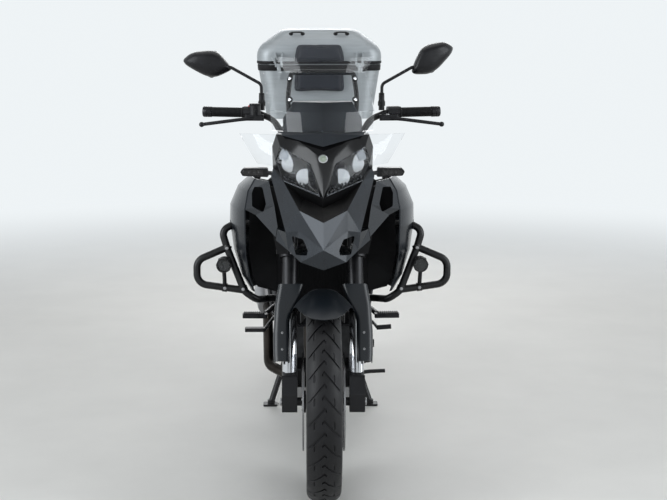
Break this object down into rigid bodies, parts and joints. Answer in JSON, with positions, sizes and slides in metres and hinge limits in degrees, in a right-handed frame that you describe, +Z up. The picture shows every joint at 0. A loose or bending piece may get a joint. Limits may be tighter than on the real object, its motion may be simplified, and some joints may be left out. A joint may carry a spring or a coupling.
{
  "type": "adventure motorcycle",
  "caption": "Adventure motorcycle on its centre stand with spoked wheels, twin lamps, tall clear screen, tube guards and a hard top box; wheels, steering, stands and lid move.",
  "frame": {"origin": "on the floor, under the middle of the bounding box", "axes": "+X to the rider's left, +Y to the rear, +Z up"},
  "size_m": [0.9239, 2.1995, 1.5],
  "materials": {
    "frame_black": "satin black powder coat",
    "guard_black": "gloss black tube",
    "engine_alloy": "dark cast alloy",
    "radiator_black": "black fins",
    "body_graphite": "dark metallic graphite paint",
    "trim_plastic": "grained black plastic",
    "seat_vinyl": "stitched black vinyl",
    "lamp_lens": "clear lens over reflector",
    "indicator_lens": "smoked amber lens",
    "screen_clear": "clear polycarbonate",
    "exhaust_steel": "brushed stainless",
    "shock_steel": "coil spring",
    "chain_steel": "oiled steel",
    "control_alloy": "satin alloy",
    "box_alloy": "brushed alloy panels",
    "fork_black": "anodised black",
    "fork_chrome": "hard chrome and alloy",
    "grip_rubber": "ribbed rubber",
    "brake_steel": "ground steel",
    "caliper_gold": "anodised",
    "rim_black": "gloss black rim and steel spokes",
    "tyre_rubber": "dual-purpose tread"
  },
  "bodies": {
    "chassis": {"main_frame": "frame_black", "engine": "engine_alloy", "radiator": "radiator_black", "fuel_tank": "body_graphite", "rider_seat": "seat_vinyl", "pillion_seat": "seat_vinyl", "side_fairings": "body_graphite", "nose_beak": "body_graphite", "headlamps": "lamp_lens", "instrument_cluster": "trim_plastic", "windscreen": "screen_clear", "indicators": "indicator_lens", "crash_bars": "guard_black", "fog_lamps": "lamp_lens", "skid_plate": "trim_plastic", "exhaust_headers": "exhaust_steel", "silencer": "exhaust_steel", "swingarm": "frame_black", "rear_shock": "shock_steel", "chain": "chain_steel", "foot_controls": "control_alloy", "rack": "frame_black", "top_box_body": "box_alloy", "backrest_lower": "seat_vinyl", "tail_unit": "trim_plastic", "rear_hugger": "trim_plastic", "side_panels": "trim_plastic"},
    "steering": {"fork_tubes": "fork_black", "fork_lowers": "fork_chrome", "triple_clamps": "frame_black", "handlebar": "guard_black", "grips": "grip_rubber", "controls": "trim_plastic", "mirrors": "trim_plastic", "front_fender": "trim_plastic", "front_calipers": "caliper_gold"},
    "front_wheel": {"front_rim": "rim_black", "front_tyre": "tyre_rubber", "front_discs": "brake_steel"},
    "rear_wheel": {"rear_rim": "rim_black", "rear_tyre": "tyre_rubber", "rear_disc": "brake_steel", "rear_sprocket": "chain_steel"},
    "centre_stand": {"centre_stand": "frame_black"},
    "side_stand": {"side_stand": "frame_black"},
    "box_lid": {"top_box_lid": "box_alloy", "backrest_upper": "seat_vinyl"}
  },
  "joints": [
    {"name": "steering", "type": "hinge", "parent": "chassis", "child": "steering", "pos_m": [0, -0.4657, 0.9], "axis": [0, 0.4147, 0.91], "range_deg": [-35, 35]},
    {"name": "front_wheel_spin", "type": "hinge", "parent": "steering", "child": "front_wheel", "pos_m": [0, -0.7707, 0.3293], "axis": [1, 0, 0], "continuous": true},
    {"name": "rear_wheel_spin", "type": "hinge", "parent": "chassis", "child": "rear_wheel", "pos_m": [0, 0.7493, 0.3529], "axis": [1, 0, 0], "continuous": true},
    {"name": "centre_stand_fold", "type": "hinge", "parent": "chassis", "child": "centre_stand", "pos_m": [0, 0.37, 0.24], "axis": [1, 0, 0], "range_deg": [0, 100]},
    {"name": "side_stand_fold", "type": "hinge", "parent": "chassis", "child": "side_stand", "pos_m": [0.182, 0.06, 0.262], "axis": [0.9508, 0, 0.3099], "range_deg": [-104, 0]},
    {"name": "lid_hinge", "type": "hinge", "parent": "chassis", "child": "box_lid", "pos_m": [0, 0.59, 1.362], "axis": [1, 0, 0], "range_deg": [0, 75]}
  ]
}
